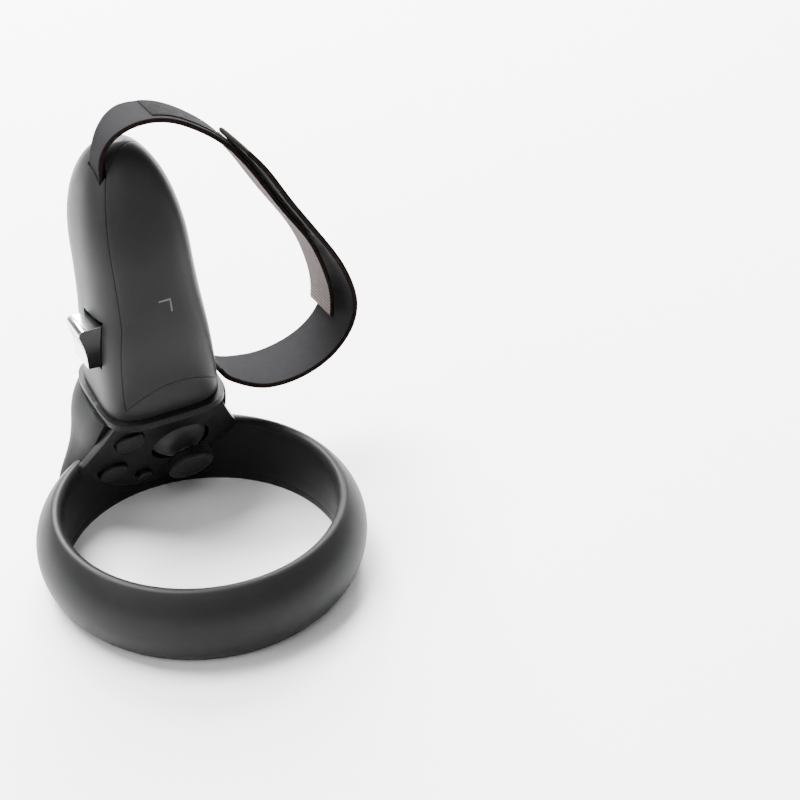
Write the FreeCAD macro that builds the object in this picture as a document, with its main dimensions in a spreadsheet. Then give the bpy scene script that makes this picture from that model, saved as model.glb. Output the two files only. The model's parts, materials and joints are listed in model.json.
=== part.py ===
import FreeCAD, Part
import Sketcher
import math
import os
import re
from FreeCAD import Placement, Rotation, Vector

# Left-hand motion controller with a knuckle strap, standing on its tracking ring.
# The origin is the centre of the ring's rest face. +Z is up, along the ring's axis.
# +Y points to the index-trigger side, -Y to the palm side, -X to the grip-trigger side
# and +X to the strap side. Every size is in millimetres. The pieces are laid out over a
# design plane just under the ring, and the last step drops them all onto the rest face.

doc = FreeCAD.newDocument("MotionController")

# ---------------------------------------------------------------- driving dimensions

DIMENSIONS = (
    # tracking ring: one section turned about the vertical axis
    ("ring_radius", 50.0),
    ("ring_widest", 18.8),
    ("rest_height", 6.4),
    ("ring_rest_inner", 42.6),
    ("ring_rest_outer", 44.8),
    ("shoulder_centre", 34.0),
    ("shoulder_radius", 16.0),
    ("crest_centre", 43.3),
    ("crest_height", 29.15),
    ("crest_round", 2.1),
    ("cover_wall", 1.6),
    ("frame_wall", 1.3),
    ("frame_foot", 9.4),
    ("led_count", 15),
    # head: sloping face plate between the ring and the neck
    ("plate_tilt", 28.8),
    ("plate_y", 29.95),
    ("plate_z", 32.0),
    ("plate_wall", 2.2),
    ("head_wall", 2.0),
    ("neck_height", 54.8),
    ("neck_back", 51.0),
    ("neck_slope", 9.2),
    ("collar_height", 2.1),
    ("bay_radius", 47.0),
    ("bay_half_width", 24.0),
    # grip
    ("grip_half_width", 18.3),
    ("grip_half_depth", 16.2),
    ("grip_base", 57.2),
    ("grip_top", 131.2),
    ("dome_start", 98.0),
    ("grip_wall", 2.0),
    ("seam_gap", 0.2),
    ("spigot_inset", 1.2),
    # battery
    ("cell_radius", 7.25),
    ("cell_length", 49.5),
    ("nub_radius", 2.75),
    ("nub_length", 1.0),
    ("cell_x", 3.0),
    ("cell_y", 37.0),
    ("tray_radius", 9.0),
    ("tray_bottom", 56.0),
    ("tray_length", 56.0),
    ("tray_end", 1.2),
    # buttons and thumbstick, laid out on the face plate
    ("button_radius", 4.75),
    ("menu_radius", 2.6),
    ("button_gap", 0.25),
    ("button_flange", 1.0),
    ("stick_x", 7.0),
    ("stick_v", -2.7),
    ("stick_pivot", -7.0),
    ("skirt_radius", 10.5),
    ("skirt_wall", 1.1),
    ("skirt_hole", 9.8),
    ("cap_radius", 7.6),
    ("gimbal_outer", 6.2),
    ("gimbal_inner", 4.4),
    ("module_half", 7.4),
    # triggers
    ("pin_play", 0.05),
    ("index_pin", 1.25),
    ("index_y", 50.0),
    ("index_z", 36.0),
    ("index_half_width", 9.3),
    ("squeeze_pin", 1.0),
    ("squeeze_x", -11.3),
    ("squeeze_z", 64.5),
    ("squeeze_start", 25.8),
    ("squeeze_width", 10.6),
    # strap
    ("strap_under", 1.6),
    ("strap_over", 1.8),
    ("patch_thickness", 0.6),
    ("strap_narrow", 15.0),
    ("strap_broad", 21.0),
    ("strap_slot_width", 7.8),
)

sheet = doc.addObject("Spreadsheet::Sheet", "Dimensions")
for row, (alias, value) in enumerate(DIMENSIONS, start=1):
    sheet.set("A%d" % row, alias)
    sheet.set("B%d" % row, str(value))
    sheet.setAlias("B%d" % row, alias)
doc.recompute()

ALIASES = {alias for alias, value in DIMENSIONS}


def dim(alias):
    """A driving dimension's value, as the sheet holds it."""
    return float(sheet.get(alias))


def bound(text):
    """An expression with each alias spelled out as a cell of the sheet."""
    return re.sub(r"[a-z_]+", lambda m: "Dimensions." + m[0] if m[0] in ALIASES else m[0], text)


def worth(text):
    """The value of an expression in the sheet's aliases."""
    return float(sheet.evalExpression(text))


# ---------------------------------------------------------------- helpers

nodes = []


def node(part, label):
    """Name a finished sub-part and put it on the list of those that are written."""
    part.Label = label
    nodes.append(part)
    return part


def solid(kind, name, place=Placement(), **sizes):
    """A Part primitive whose sizes are bound to the sheet."""
    part = doc.addObject("Part::" + kind, name)
    for size, text in sizes.items():
        part.setExpression(size, bound(str(text)))
    part.Placement = place
    return part


def box(name, low, high, place=Placement()):
    """A box between two corners of the given frame."""
    part = solid("Box", name, place.multiply(Placement(Vector(*low), Rotation())))
    part.Length, part.Width, part.Height = [top - bottom for bottom, top in zip(low, high)]
    return part


def rod(name, start, end, radius):
    """A cylinder from one point to another, with a radius bound to the sheet."""
    start, end = Vector(*start), Vector(*end)
    part = solid("Cylinder", name, Placement(start, Rotation(Vector(0, 0, 1), end - start)),
                 Radius=radius)
    part.Height = (end - start).Length
    return part


def cut(name, base, tool):
    """The base without the tool."""
    part = doc.addObject("Part::Cut", name)
    part.Base = base
    part.Tool = tool
    return part


def fuse(name, *shapes):
    """Several shapes joined in one."""
    part = doc.addObject("Part::MultiFuse", name)
    part.Shapes = list(shapes)
    return part


def common(name, first, second):
    """The space that two shapes share."""
    part = doc.addObject("Part::Common", name)
    part.Base = first
    part.Tool = second
    return part


def freeform(name, shape, place=Placement()):
    """A sub-part whose shape comes from Part's own functions."""
    part = doc.addObject("Part::Feature", name)
    part.Shape = shape
    part.Placement = place
    return part


def largest(shape):
    """The biggest of a shape's solids."""
    return max(shape.Solids, key=lambda piece: piece.Volume)


def origin_object(body, role):
    """One of the body's own origin planes or axes."""
    return next(item for item in body.Origin.OriginFeatures if item.Role == role)


def corner_constraints(index, end, across, up):
    """Constraints that hold one end of a sketch edge, each with the expression it follows."""
    held = []
    for direction, text, axis in (("DistanceX", across, -2), ("DistanceY", up, -1)):
        value = worth(text)
        if abs(value) < 1e-9:
            held.append((Sketcher.Constraint("PointOnObject", index, end, axis), None))
        elif value > 0:
            held.append((Sketcher.Constraint(direction, -1, 1, index, end, value), bound(text)))
        else:
            held.append((Sketcher.Constraint(direction, index, end, -1, 1, -value),
                         bound("-(" + text + ")")))
    return held


def outline(body, name, role, corners, arcs=()):
    """A closed outline on one of the body's origin planes. Corners are pairs of expressions;
    arcs gives, by the index of the corner that it starts from, a point that the run passes."""
    sketch = body.newObject("Sketcher::SketchObject", name)
    sketch.AttachmentSupport = [(origin_object(body, role), "")]
    sketch.MapMode = "FlatFace"
    arcs = dict(arcs)
    points = [Vector(worth(across), worth(up), 0) for across, up in corners]
    ends = []
    for index, start in enumerate(points):
        stop = points[(index + 1) % len(points)]
        forward = True
        if index in arcs:
            through = Vector(*arcs[index], 0)
            forward = (through - start).cross(stop - through).z > 0
            edge = Part.Arc(start, through, stop) if forward else Part.Arc(stop, through, start)
        else:
            edge = Part.LineSegment(start, stop)
        sketch.addGeometry(edge, False)
        ends.append((1, 2) if forward else (2, 1))
    held = []
    for index, (across, up) in enumerate(corners):
        following = (index + 1) % len(points)
        held.append((Sketcher.Constraint("Coincident", index, ends[index][1],
                                         following, ends[following][0]), None))
        held += corner_constraints(index, ends[index][0], across, up)
    sketch.addConstraint([constraint for constraint, follows in held])
    for number, (constraint, follows) in enumerate(held):
        if follows:
            sketch.setExpression("Constraints[%d]" % number, follows)
    return sketch


def revolved(name, corners, arcs=()):
    """A body turned about the vertical axis from an outline in radius and height."""
    body = doc.addObject("PartDesign::Body", name)
    sketch = outline(body, name + "_outline", "XZ_Plane", corners, arcs)
    turn = body.newObject("PartDesign::Revolution", name + "_turn")
    turn.Profile = sketch
    turn.ReferenceAxis = (sketch, ["V_Axis"])
    turn.Angle = 360
    return body


def padded(name, role, corners, arcs, length, offset=0.0):
    """A body padded from an outline, starting at an offset along the plane's normal."""
    body = doc.addObject("PartDesign::Body", name)
    sketch = outline(body, name + "_outline", role, corners, arcs)
    sketch.AttachmentOffset = Placement(Vector(0, 0, offset), Rotation())
    pad = body.newObject("PartDesign::Pad", name + "_pad")
    pad.Profile = sketch
    pad.setExpression("Length", bound(length))
    return body


def coil(name, place, radius, wire_radius, length, turns):
    """A wire spring with its axis along the frame's Z and its first turn on the frame's origin."""
    rise = length - 2 * wire_radius
    helix = Part.makeHelix(rise / turns, rise, radius)
    circle = Part.Circle(Vector(radius, 0, 0), Vector(0, 1, 0), wire_radius).toShape()
    spring = Part.Wire(helix.Edges).makePipeShell([Part.Wire([circle])], True, True)
    spring.translate(Vector(0, 0, wire_radius))
    return freeform(name, spring, place)


# ---------------------------------------------------------------- tracking ring

R_OUT = dim("ring_radius")
WIDEST = dim("ring_widest")
CREST_R, CREST_Z, CREST_ROUND = dim("crest_centre"), dim("crest_height"), dim("crest_round")
SHOULDER_R, SHOULDER_ROUND = dim("shoulder_centre"), dim("shoulder_radius")
CREST_IN = CREST_R - CREST_ROUND
REST = dim("rest_height")


def arc_radius(spread, height):
    """Radius of an arc that leaves straight down and moves sideways by the spread."""
    return (spread ** 2 + height ** 2) / (2 * spread)


# The inner wall leaves the crest straight down, and the outer one its widest place.
WALL_ROUND = arc_radius(dim("ring_rest_inner") - CREST_IN, CREST_Z - REST)
OUTER_ROUND = arc_radius(R_OUT - dim("ring_rest_outer"), WIDEST - REST)


def outer_at(height, inset=0.0):
    """Radius of the ring's outer surface below its widest place."""
    reach = OUTER_ROUND - inset
    return R_OUT - OUTER_ROUND + math.sqrt(reach ** 2 - (WIDEST - height) ** 2)


def shoulder_at(angle, inset=0.0):
    """Point of the ring's upper outer arc, at an angle above the horizontal."""
    reach = SHOULDER_ROUND - inset
    return SHOULDER_R + reach * math.cos(angle), WIDEST + reach * math.sin(angle)


def inner_at(height, outset=0.0):
    """Radius of the ring's inner wall, or of its back when it is outset."""
    reach = WALL_ROUND - outset
    return CREST_IN + WALL_ROUND - math.sqrt(reach ** 2 - (CREST_Z - height) ** 2)


LEAVE = math.atan2(CREST_Z - WIDEST, CREST_R - SHOULDER_R)
TANGENT = shoulder_at(LEAVE)
CREST_TOP = (CREST_R, CREST_Z + CREST_ROUND)
SEAM = math.radians(28)
FOOT = dim("frame_foot")


def written(value):
    """A worked-out coordinate as an expression."""
    return "%.6f" % value


def ring_section(name):
    """The whole ring as one solid, used to trim what meets it."""
    corners = [("ring_rest_outer", "rest_height"),
               ("ring_radius", "ring_widest"),
               (written(TANGENT[0]), written(TANGENT[1])),
               ("crest_centre - crest_round", "crest_height"),
               ("ring_rest_inner", "rest_height")]
    arcs = {0: (outer_at(10), 10),
            1: shoulder_at(LEAVE / 2),
            2: CREST_TOP,
            3: (inner_at(14), 14)}
    return revolved(name, corners, arcs)


ring_whole = ring_section("ring_whole")

# The outer cover is the shell that the hand touches, with the crest and the rest face.
seam_in = shoulder_at(SEAM, dim("cover_wall"))
cover_blank = revolved(
    "ring_cover_blank",
    [("ring_rest_outer", "rest_height"),
     ("ring_radius", "ring_widest"),
     (written(TANGENT[0]), written(TANGENT[1])),
     ("crest_centre - crest_round", "crest_height"),
     ("crest_centre - crest_round + frame_wall + 0.1", "crest_height"),
     (written(seam_in[0]), written(seam_in[1])),
     ("ring_radius - cover_wall", "ring_widest"),
     (written(outer_at(FOOT, dim("cover_wall"))), "frame_foot"),
     (written(inner_at(FOOT)), "frame_foot"),
     ("ring_rest_inner", "rest_height")],
    {0: (outer_at(10), 10),
     1: shoulder_at(LEAVE / 2),
     2: CREST_TOP,
     5: shoulder_at(SEAM / 2, dim("cover_wall")),
     6: (outer_at(12, dim("cover_wall")), 12)})

# The inner frame is the liner of the opening, let in between the crest and the foot.
frame_low, frame_top = FOOT, CREST_Z
frame_blank = revolved(
    "ring_frame_blank",
    [(written(inner_at(frame_low)), written(frame_low)),
     (written(inner_at(frame_low, dim("frame_wall"))), written(frame_low)),
     (written(CREST_IN + dim("frame_wall")), written(frame_top)),
     (written(CREST_IN), written(frame_top))],
    {1: (inner_at(16, dim("frame_wall")), 16),
     3: (inner_at(16), 16)})

# ---------------------------------------------------------------- face-plate frame

# Local X is the row's X, local Y runs up the plate to the neck, and local Z is its outward
# normal, down and to the palm side.
PLATE = Placement(Vector(0, dim("plate_y"), dim("plate_z")),
                  Rotation(Vector(1, 0, 0), 90 + dim("plate_tilt")))


def on_plate(across, along, out=0.0):
    """A place on the face plate, turned with it."""
    return PLATE.multiply(Placement(Vector(across, along, out), Rotation()))


def plate_y_at(height):
    """Y of the plate's outer face at a height."""
    return dim("plate_y") + (dim("plate_z") - height) * math.tan(math.radians(dim("plate_tilt")))


def bay(name):
    """Room behind the plate where the ring is left out for the head's insides."""
    half = dim("bay_half_width")
    behind = box(name + "_behind", (-half, -36, -45), (half, 40, -dim("plate_wall")), PLATE)
    inside = solid("Cylinder", name + "_inside", Placement(Vector(0, 0, FOOT), Rotation()),
                   Radius="bay_radius", Height="40")
    return common(name, behind, inside)


node(cut("ring_outer_cover", cover_blank, bay("cover_bay")), "ring_outer_cover")

# The frame also makes way for the buttons that stand next to it.
BUTTONS = {"x_button": (-15.4, -8.7), "y_button": (-11.5, 8.5)}
MENU = (-4.0, -17.5)


def button_room(name, across, along, radius):
    """The hole that a button moves in."""
    return solid("Cylinder", name, on_plate(across, along, -5), Radius=radius + " + button_gap",
                 Height="10")


frame_cuts = [button_room(label + "_well", *at, "button_radius") for label, at in BUTTONS.items()]
frame_cuts += [button_room("menu_well", *MENU, "menu_radius"), bay("frame_bay")]
node(cut("ring_inner_frame", frame_blank, fuse("frame_cuts", *frame_cuts)), "ring_inner_frame")

# A flex strip with the tracking lamps runs round inside the ring, except in the head.
FLEX_IN, FLEX_WALL, FLEX_LOW, FLEX_HEIGHT = 45.6, 0.3, 11.0, 12.0
flex_low = Placement(Vector(0, 0, FLEX_LOW), Rotation())
flex_disc = solid("Cylinder", "flex_disc", flex_low, Radius=FLEX_IN + FLEX_WALL, Height=FLEX_HEIGHT)
flex_core = solid("Cylinder", "flex_core", flex_low, Radius=FLEX_IN, Height=FLEX_HEIGHT)
node(cut("led_flex", cut("flex_band", flex_disc, flex_core), bay("flex_bay")), "led_flex")

LED_SIZE = 2.4
LED_DEPTH = 1.0
LED_SPAN = 285.0


def led_angle(index):
    """Angle of one lamp, spread evenly over the part of the ring outside the head."""
    step = LED_SPAN / (dim("led_count") - 1)
    return 90 + (360 - LED_SPAN) / 2 + index * step


def led(index):
    """One lamp on the outside of the flex, high or low in turn."""
    lamp = Part.makeBox(LED_DEPTH, LED_SIZE, LED_SIZE)
    rise = FLEX_LOW + (2.0 if index % 2 else FLEX_HEIGHT - 2.0 - LED_SIZE)
    lamp.translate(Vector(FLEX_IN + FLEX_WALL, -LED_SIZE / 2, rise))
    lamp.rotate(Vector(), Vector(0, 0, 1), led_angle(index))
    return lamp


node(freeform("tracking_leds", Part.makeCompound([led(i) for i in range(int(dim("led_count")))])),
     "tracking_leds")

# ---------------------------------------------------------------- rounded loops


def loop_points(half_x, half_y, centre_y, power, count=36):
    """Points of a rounded-rectangle loop (a superellipse), with no corner."""
    points = []
    for index in range(count):
        angle = 2 * math.pi * index / count
        along, across = math.cos(angle), math.sin(angle)
        x = half_x * math.copysign(abs(along) ** (2 / power), along)
        y = half_y * math.copysign(abs(across) ** (2 / power), across)
        points.append((x, centre_y + y))
    return points


def loop(half_x, half_y, centre_y, height, power):
    """A level rounded-rectangle loop as a wire of one smooth curve."""
    curve = Part.BSplineCurve()
    points = [Vector(x, y, height) for x, y in loop_points(half_x, half_y, centre_y, power)]
    curve.interpolate(Points=points, PeriodicFlag=True)
    return Part.Wire([curve.toShape()])


def loft(wires):
    """A smooth solid through level loops."""
    return Part.makeLoft(wires, True, False)


# ---------------------------------------------------------------- head housing

# Height, half width, front and squareness of the head's outside, which the face plate cuts
# off on the palm side.
HEAD_SECTIONS = (
    (14.0, 27.0, 48.0, 3.0),
    (22.0, 29.8, 50.4, 3.0),
    (30.0, 25.9, 53.2, 3.0),
    (38.0, 23.6, 55.0, 3.2),
    (46.0, 22.4, 55.0, 3.5),
    (51.0, 20.8, 53.4, 3.8),
    (54.8, 19.2, 51.6, 4.2),
)


def above_neck(height):
    """The space above the neck's slope, which is at the given height at its back."""
    space = Part.makeBox(200, 200, 200, Vector(-100, -100, 0))
    space.translate(Vector(0, -dim("neck_back"), 0))
    space.rotate(Vector(0, 0, 0), Vector(1, 0, 0), dim("neck_slope"))
    space.translate(Vector(0, dim("neck_back"), height))
    return space


def head_loop(height, half_width, front, power, inset):
    """One level loop of the head, as far inside its surface as the inset."""
    back = plate_y_at(height) - 4.0
    half_depth = (front - back) / 2 - inset
    return loop(half_width - inset, half_depth, (front + back) / 2, height, power)


def head_solid(inset, top):
    """The head's outer form, or its hollow when it is inset."""
    wires = [head_loop(*section, inset) for section in HEAD_SECTIONS]
    form = loft(wires)
    if top > dim("neck_height"):
        cap = wires[-1].copy()
        form = form.fuse(Part.Face(cap).extrude(Vector(0, 0, top - dim("neck_height"))))
    return form


doc.recompute()
head_hollow = head_solid(dim("head_wall"), dim("neck_height") + 1)
plate_space = Part.makeBox(100, 100, 60, Vector(-50, -50, -dim("plate_wall")))
plate_space.Placement = PLATE
INDEX_WINDOW = (9.9, 32.6, 52.2)
window_half, window_low, window_high = INDEX_WINDOW
index_window = Part.makeBox(2 * window_half, 30, window_high - window_low,
                            Vector(-window_half, 46, window_low))
head_form = head_solid(0.0, dim("neck_height")).cut(head_hollow)
for tool in (ring_whole.Shape, plate_space, index_window, above_neck(dim("neck_height"))):
    head_form = head_form.cut(tool)
node(freeform("head_housing", largest(head_form)), "head_housing")

# Room for the head's insides, a little clear of its walls and of the ring's cover.
BAY_REACH = dim("bay_radius") - 0.5
head_room = head_solid(dim("head_wall") + 0.3, dim("neck_height"))
head_room = freeform("head_room", head_room.common(Part.makeCylinder(BAY_REACH, 80)))
bracket_room = freeform("bracket_room", head_solid(dim("head_wall") + 0.3, dim("neck_height")))

# Plate that closes the neck and takes the screws from the grip.
NECK_SCREWS = ((12.5, 43.0), (-12.5, 43.0), (-12.0, 26.0), (12.0, 26.0))
NECK_PLATE = (50.2, 52.2)
neck_loop = head_loop(dim("neck_height"), *HEAD_SECTIONS[-1][1:], dim("head_wall") + 0.9)
neck_loop.translate(Vector(0, 0, NECK_PLATE[0] - dim("neck_height")))
neck_form = Part.Face(neck_loop).extrude(Vector(0, 0, NECK_PLATE[1] - NECK_PLATE[0]))
neck_form = neck_form.cut(plate_space)
neck_form = neck_form.cut(Part.makeBox(10, 6, 10, Vector(-7, 38, 48)))
for x, y in NECK_SCREWS:
    neck_form = neck_form.cut(Part.makeCylinder(0.9, 10, Vector(x, y, 48)))
node(freeform("neck_plate", largest(neck_form)), "neck_plate")


def neck_screw(x, y):
    """A self-tapping screw, head below the neck plate and thread in the grip's post."""
    shank = Part.makeCylinder(0.8, 6.0, Vector(x, y, NECK_PLATE[0]))
    return shank.fuse(Part.makeCylinder(1.6, 1.2, Vector(x, y, NECK_PLATE[0] - 1.2)))


node(freeform("neck_screws", Part.makeCompound([neck_screw(x, y) for x, y in NECK_SCREWS])),
     "neck_screws")

# ---------------------------------------------------------------- face plate

STICK = (dim("stick_x"), dim("stick_v"))

plate_blank = padded(
    "face_plate_blank", "XY_Plane",
    [("17.4", "19.4"), ("-17.4", "19.4"), ("-26.4", "-1.5"), ("-13", "-31.5"),
     ("13", "-31.5"), ("26.4", "-1.5")],
    {1: (-20.6, 11.0), 2: (-25.0, -16.0), 4: (25.0, -16.0), 5: (20.6, 11.0)},
    "plate_wall", -dim("plate_wall"))
plate_blank.Placement = PLATE
openings = [button_room(label + "_hole", *at, "button_radius") for label, at in BUTTONS.items()]
openings.append(button_room("menu_hole", *MENU, "menu_radius"))
openings.append(solid("Cylinder", "stick_hole", on_plate(*STICK, -5),
                      Radius="skirt_hole", Height="10"))
plate_trimmed = cut("face_plate_trimmed", plate_blank, fuse("plate_openings", *openings))
plate_reach = solid("Cylinder", "plate_reach", Placement(), Radius="ring_rest_inner", Height="80")
plate_inside = common("face_plate_inside", plate_trimmed, plate_reach)
node(cut("face_plate", plate_inside, ring_whole), "face_plate")

# ---------------------------------------------------------------- buttons

FLANGE_TOP = -2.9
CAP_TOP = 1.3


def button(name, across, along, radius):
    """A button cap with the flange that keeps it behind the plate."""
    flange_low = FLANGE_TOP - dim("button_flange")
    cap = solid("Cylinder", name + "_cap", on_plate(across, along, FLANGE_TOP),
                Radius=radius, Height=CAP_TOP - FLANGE_TOP)
    flange = solid("Cylinder", name + "_flange", on_plate(across, along, flange_low),
                   Radius=radius + " + 0.9", Height="button_flange")
    blank = fuse(name + "_blank", cap, flange)
    doc.recompute()
    part = doc.addObject("Part::Fillet", name)
    part.Base = blank
    rim = [number for number, edge in enumerate(blank.Shape.Edges, start=1)
           if abs(PLATE.inverse().multVec(edge.CenterOfMass).z - CAP_TOP) < 1e-4]
    part.Edges = [(number, 0.5, 0.5) for number in rim]
    return node(part, name)


for label, (u, v) in BUTTONS.items():
    button(label, u, v, "button_radius")
button("menu_button", *MENU, "menu_radius")

# Rubber mat of key domes, and the switch discs under it on the circuit board.
MAT_TOP, MAT_LOW = -5.2, -6.0
SWITCH_HEIGHT = 0.6
BOARD_TOP, BOARD_LOW = MAT_LOW - SWITCH_HEIGHT, -7.8
mat = box("mat_strip", (-20.5, -12.5, MAT_LOW), (-6.5, 14.0, MAT_TOP), PLATE)
node(common("key_mat", mat, head_room), "key_mat")
menu_mat = solid("Cylinder", "menu_mat", on_plate(*MENU, MAT_LOW), Radius="menu_radius + 0.8",
                 Height=MAT_TOP - MAT_LOW)
node(menu_mat, "menu_key_mat")


def switch_disc(across, along):
    """A metal dome switch on the board, pressed through the mat."""
    disc = Part.makeCylinder(2.4, SWITCH_HEIGHT, Vector(across, along, BOARD_TOP))
    return disc


places = list(BUTTONS.values()) + [MENU]
node(freeform("dome_switches", Part.makeCompound([switch_disc(*place) for place in places]), PLATE),
     "dome_switches")

HALF = dim("module_half")
MODULE_LOW = -13.6
board_blank = box("board_blank", (-20.5, -20.5, BOARD_LOW), (17.0, 15.5, BOARD_TOP), PLATE)
stick_room = box("stick_room", (STICK[0] - HALF - 0.1, STICK[1] - HALF - 0.1, -20),
                 (STICK[0] + HALF + 0.1, STICK[1] + HALF + 0.1, 0), PLATE)
sphere_room = solid("Sphere", "sphere_room", on_plate(*STICK, dim("stick_pivot")),
                    Radius="skirt_radius + 0.4")
board_full = common("board_full", board_blank, head_room)
node(cut("main_board", board_full, fuse("board_opening", stick_room, sphere_room)), "main_board")
node(box("radio_module", (-19.0, 1.0, BOARD_LOW - 1.6), (-8.0, 13.0, BOARD_LOW), PLATE),
     "radio_module")

# ---------------------------------------------------------------- thumbstick

PIVOT = dim("stick_pivot")


def stick_point(across, along, out):
    """A point given from the thumbstick's pivot, in the row's frame."""
    return PLATE.multVec(Vector(STICK[0] + across, STICK[1] + along, PIVOT + out))


SKIRT_RIM = 4.9
CAP_LOW, CAP_HIGH = 12.6, 16.4
skirt_at = on_plate(*STICK, PIVOT)
skirt_ball = solid("Sphere", "skirt_ball", skirt_at, Radius="skirt_radius")
skirt_hollow = solid("Sphere", "skirt_hollow", skirt_at, Radius="skirt_radius - skirt_wall")
skirt_part = box("skirt_part", (STICK[0] - 12, STICK[1] - 12, PIVOT + SKIRT_RIM),
                 (STICK[0] + 12, STICK[1] + 12, PIVOT + 12), PLATE)
skirt_shell = common("skirt_shell", cut("skirt_full", skirt_ball, skirt_hollow), skirt_part)
stem = rod("stick_stem_rod", stick_point(0, 0, 2.6), stick_point(0, 0, CAP_LOW), "2.2")
hub = solid("Sphere", "stick_hub", skirt_at, Radius="3.2")
cross = rod("stick_cross_hole", stick_point(-5, 0, 0), stick_point(5, 0, 0), "0.8")
node(cut("stick_stem", fuse("stem_blank", skirt_shell, stem, hub), cross), "stick_stem")
node(rod("stick_hub_pin", stick_point(-5.9, 0, 0), stick_point(5.9, 0, 0), "0.8"), "stick_hub_pin")

cap_blank = solid("Cylinder", "cap_blank", on_plate(*STICK, PIVOT + CAP_LOW),
                  Radius="cap_radius", Height=CAP_HIGH - CAP_LOW)
cap_dish = solid("Sphere", "cap_dish", on_plate(*STICK, PIVOT + CAP_HIGH + 17.2), Radius="18.6")
cap_cut = cut("cap_cut", cap_blank, cap_dish)
doc.recompute()
cap = doc.addObject("Part::Fillet", "thumbstick_cap")
cap.Base = cap_cut
cap_rims = [number for number, edge in enumerate(cap_cut.Shape.Edges, start=1)
            if abs(edge.Length - 2 * math.pi * dim("cap_radius")) < 0.01]
cap.Edges = [(number, 0.45, 0.45) for number in cap_rims]
node(cap, "thumbstick_cap")

# Gimbal: the stick tips about the hub pin in the ring, the ring about its own two pins.
ring_thick = 1.2
gimbal_disc = rod("gimbal_disc", stick_point(0, 0, -ring_thick), stick_point(0, 0, ring_thick),
                  "gimbal_outer")
gimbal_open = rod("gimbal_open", stick_point(0, 0, -2), stick_point(0, 0, 2), "gimbal_inner")
gimbal_hole = rod("gimbal_hole", stick_point(-7, 0, 0), stick_point(7, 0, 0), "0.8 + pin_play")
gimbal_blank = cut("gimbal_blank", gimbal_disc, fuse("gimbal_cuts", gimbal_open, gimbal_hole))
pin_up = rod("gimbal_pin_up", stick_point(0, 5.2, 0), stick_point(0, 7.3, 0), "0.8")
pin_down = rod("gimbal_pin_down", stick_point(0, -7.3, 0), stick_point(0, -5.2, 0), "0.8")
node(fuse("gimbal_ring", gimbal_blank, pin_up, pin_down), "gimbal_ring")

CARRIAGE_LOW, CARRIAGE_TOP = -12.2, -11.2
POST_IN, POST_OUT = 6.5, 7.4
inset = 0.35
sled = HALF - 0.8 - inset
carriage_floor = box("carriage_floor", (STICK[0] - sled, STICK[1] - sled, CARRIAGE_LOW),
                     (STICK[0] + sled, STICK[1] + sled, CARRIAGE_TOP), PLATE)
posts = []
for side in (-1, 1):
    inner, outer = sorted((side * POST_IN, side * POST_OUT))
    foot_in, foot_out = sorted((side * (sled - 1.0), side * POST_OUT))
    name = "post_up" if side > 0 else "post_down"
    posts.append(box(name, (STICK[0] - 1.6, STICK[1] + inner, CARRIAGE_LOW),
                     (STICK[0] + 1.6, STICK[1] + outer, PIVOT + 1.5), PLATE))
    posts.append(box(name + "_foot", (STICK[0] - 1.6, STICK[1] + foot_in, CARRIAGE_LOW),
                     (STICK[0] + 1.6, STICK[1] + foot_out, CARRIAGE_TOP), PLATE))
carriage_pins = rod("carriage_pins", stick_point(0, -9, 0), stick_point(0, 9, 0),
                    "0.8 + pin_play")
node(cut("stick_carriage", fuse("carriage_blank", carriage_floor, *posts), carriage_pins),
     "stick_carriage")
washer = rod("washer", PLATE.multVec(Vector(*STICK, CARRIAGE_TOP)),
             PLATE.multVec(Vector(*STICK, CARRIAGE_TOP + 0.3)), "4.6")
washer_hole = rod("washer_hole", PLATE.multVec(Vector(*STICK, CARRIAGE_TOP - 1)),
                  PLATE.multVec(Vector(*STICK, CARRIAGE_TOP + 1)), "3.4")
node(cut("centring_spring", washer, washer_hole), "centring_spring")

tub = box("tub", (STICK[0] - HALF, STICK[1] - HALF, MODULE_LOW),
          (STICK[0] + HALF, STICK[1] + HALF, -8.9), PLATE)
tub_inside = box("tub_inside", (STICK[0] - HALF + 0.8, STICK[1] - HALF + 0.8, MODULE_LOW + 0.8),
                 (STICK[0] + HALF - 0.8, STICK[1] + HALF - 0.8, 0), PLATE)
tub_slot = box("tub_slot", (STICK[0] - 2.0, STICK[1] - HALF - 1, MODULE_LOW + 0.8),
               (STICK[0] + 2.0, STICK[1] + HALF + 1, 0), PLATE)
node(cut("stick_frame", tub, fuse("tub_cuts", tub_inside, tub_slot)), "stick_frame")
for side, name in ((-1, "stick_sensor_left"), (1, "stick_sensor_right")):
    near, far = sorted((side * HALF, side * (HALF + 1.4)))
    node(box(name, (STICK[0] + near, STICK[1] - 3.0, -12.6), (STICK[0] + far, STICK[1] + 3.0, -9.4),
             PLATE), name)

# ---------------------------------------------------------------- index trigger

INDEX_PIVOT = (dim("index_y"), dim("index_z"))
trigger_blank = padded(
    "index_trigger_blank", "YZ_Plane",
    [("index_y", "index_z - 2.8"), ("54.5", "33.6"), ("63.3", "46.5"), ("62.2", "51.6"),
     ("59.9", "51.4"), ("54", "39.2"), ("index_y", "index_z + 2.8")],
    {1: (60.6, 38.6), 2: (63.3, 49.2), 4: (58.4, 44.4),
     6: (INDEX_PIVOT[0] - 2.8, INDEX_PIVOT[1])},
    "2 * index_half_width", -dim("index_half_width"))
index_bore = rod("index_bore", (-12, *INDEX_PIVOT), (12, *INDEX_PIVOT), "index_pin + pin_play")
node(cut("index_trigger", trigger_blank, index_bore), "index_trigger")
EAR_IN, EAR_OUT = 11.4, 13.2
node(rod("index_trigger_pin", (-EAR_OUT, *INDEX_PIVOT), (EAR_OUT, *INDEX_PIVOT), "index_pin"),
     "index_trigger_pin")
bracket = [box("index_bar", (-EAR_OUT, 46.8, 31.4), (EAR_OUT, 50.6, 32.4))]
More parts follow.
